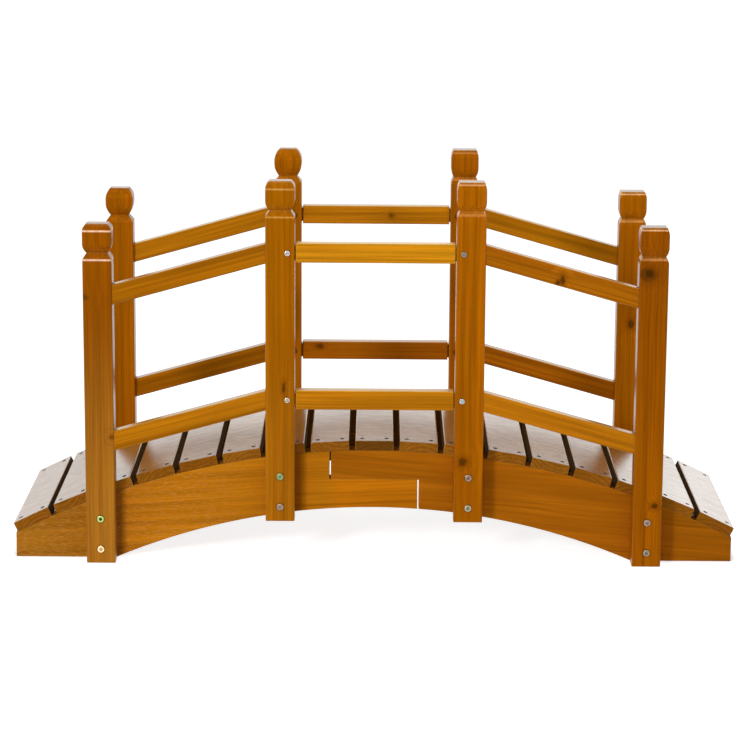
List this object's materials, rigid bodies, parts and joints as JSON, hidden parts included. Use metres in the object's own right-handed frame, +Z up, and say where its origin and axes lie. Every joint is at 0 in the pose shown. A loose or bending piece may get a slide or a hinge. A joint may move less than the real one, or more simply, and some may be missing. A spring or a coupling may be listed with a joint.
{
  "type": "moon bridge",
  "caption": "Arched wooden garden footbridge: lapped arch beams, cross-board deck, square posts with barrel finials and paired handrails that slope down to the end posts.",
  "frame": {"origin": "on the floor, at the middle of the bridge's length and width", "axes": "+X along the bridge to the right of the picture, +Y across it away from the picture's camera, +Z up"},
  "size_m": [1.5096, 0.54, 0.804],
  "materials": {
    "beam_wood": "honey stain under satin varnish, grain along the beam",
    "post_wood": "honey stain under satin varnish, upright grain",
    "rail_wood": "honey stain under satin varnish, grain along the rail",
    "deck_wood": "honey stain under satin varnish, grain along the board",
    "fastener_zinc": "dull zinc plate on bolt and screw heads, drawn in the visual model only"
  },
  "bodies": {
    "root": {"front_left_beam": "beam_wood", "front_right_beam": "beam_wood", "back_left_beam": "beam_wood", "back_right_beam": "beam_wood", "front_left_end_post": "post_wood", "front_left_mid_post": "post_wood", "front_right_mid_post": "post_wood", "front_right_end_post": "post_wood", "back_left_end_post": "post_wood", "back_left_mid_post": "post_wood", "back_right_mid_post": "post_wood", "back_right_end_post": "post_wood", "front_left_top_rail": "rail_wood", "front_left_bottom_rail": "rail_wood", "front_middle_top_rail": "rail_wood", "front_middle_bottom_rail": "rail_wood", "front_right_top_rail": "rail_wood", "front_right_bottom_rail": "rail_wood", "back_left_top_rail": "rail_wood", "back_left_bottom_rail": "rail_wood", "back_middle_top_rail": "rail_wood", "back_middle_bottom_rail": "rail_wood", "back_right_top_rail": "rail_wood", "back_right_bottom_rail": "rail_wood", "deck_board_01": "deck_wood", "deck_board_02": "deck_wood", "deck_board_03": "deck_wood", "deck_board_04": "deck_wood", "deck_board_05": "deck_wood", "deck_board_06": "deck_wood", "deck_board_07": "deck_wood", "deck_board_08": "deck_wood", "deck_board_09": "deck_wood", "deck_board_10": "deck_wood", "deck_board_11": "deck_wood", "deck_board_12": "deck_wood", "deck_board_13": "deck_wood", "deck_board_14": "deck_wood", "deck_board_15": "deck_wood", "deck_board_16": "deck_wood", "deck_board_17": "deck_wood"}
  },
  "joints": []
}
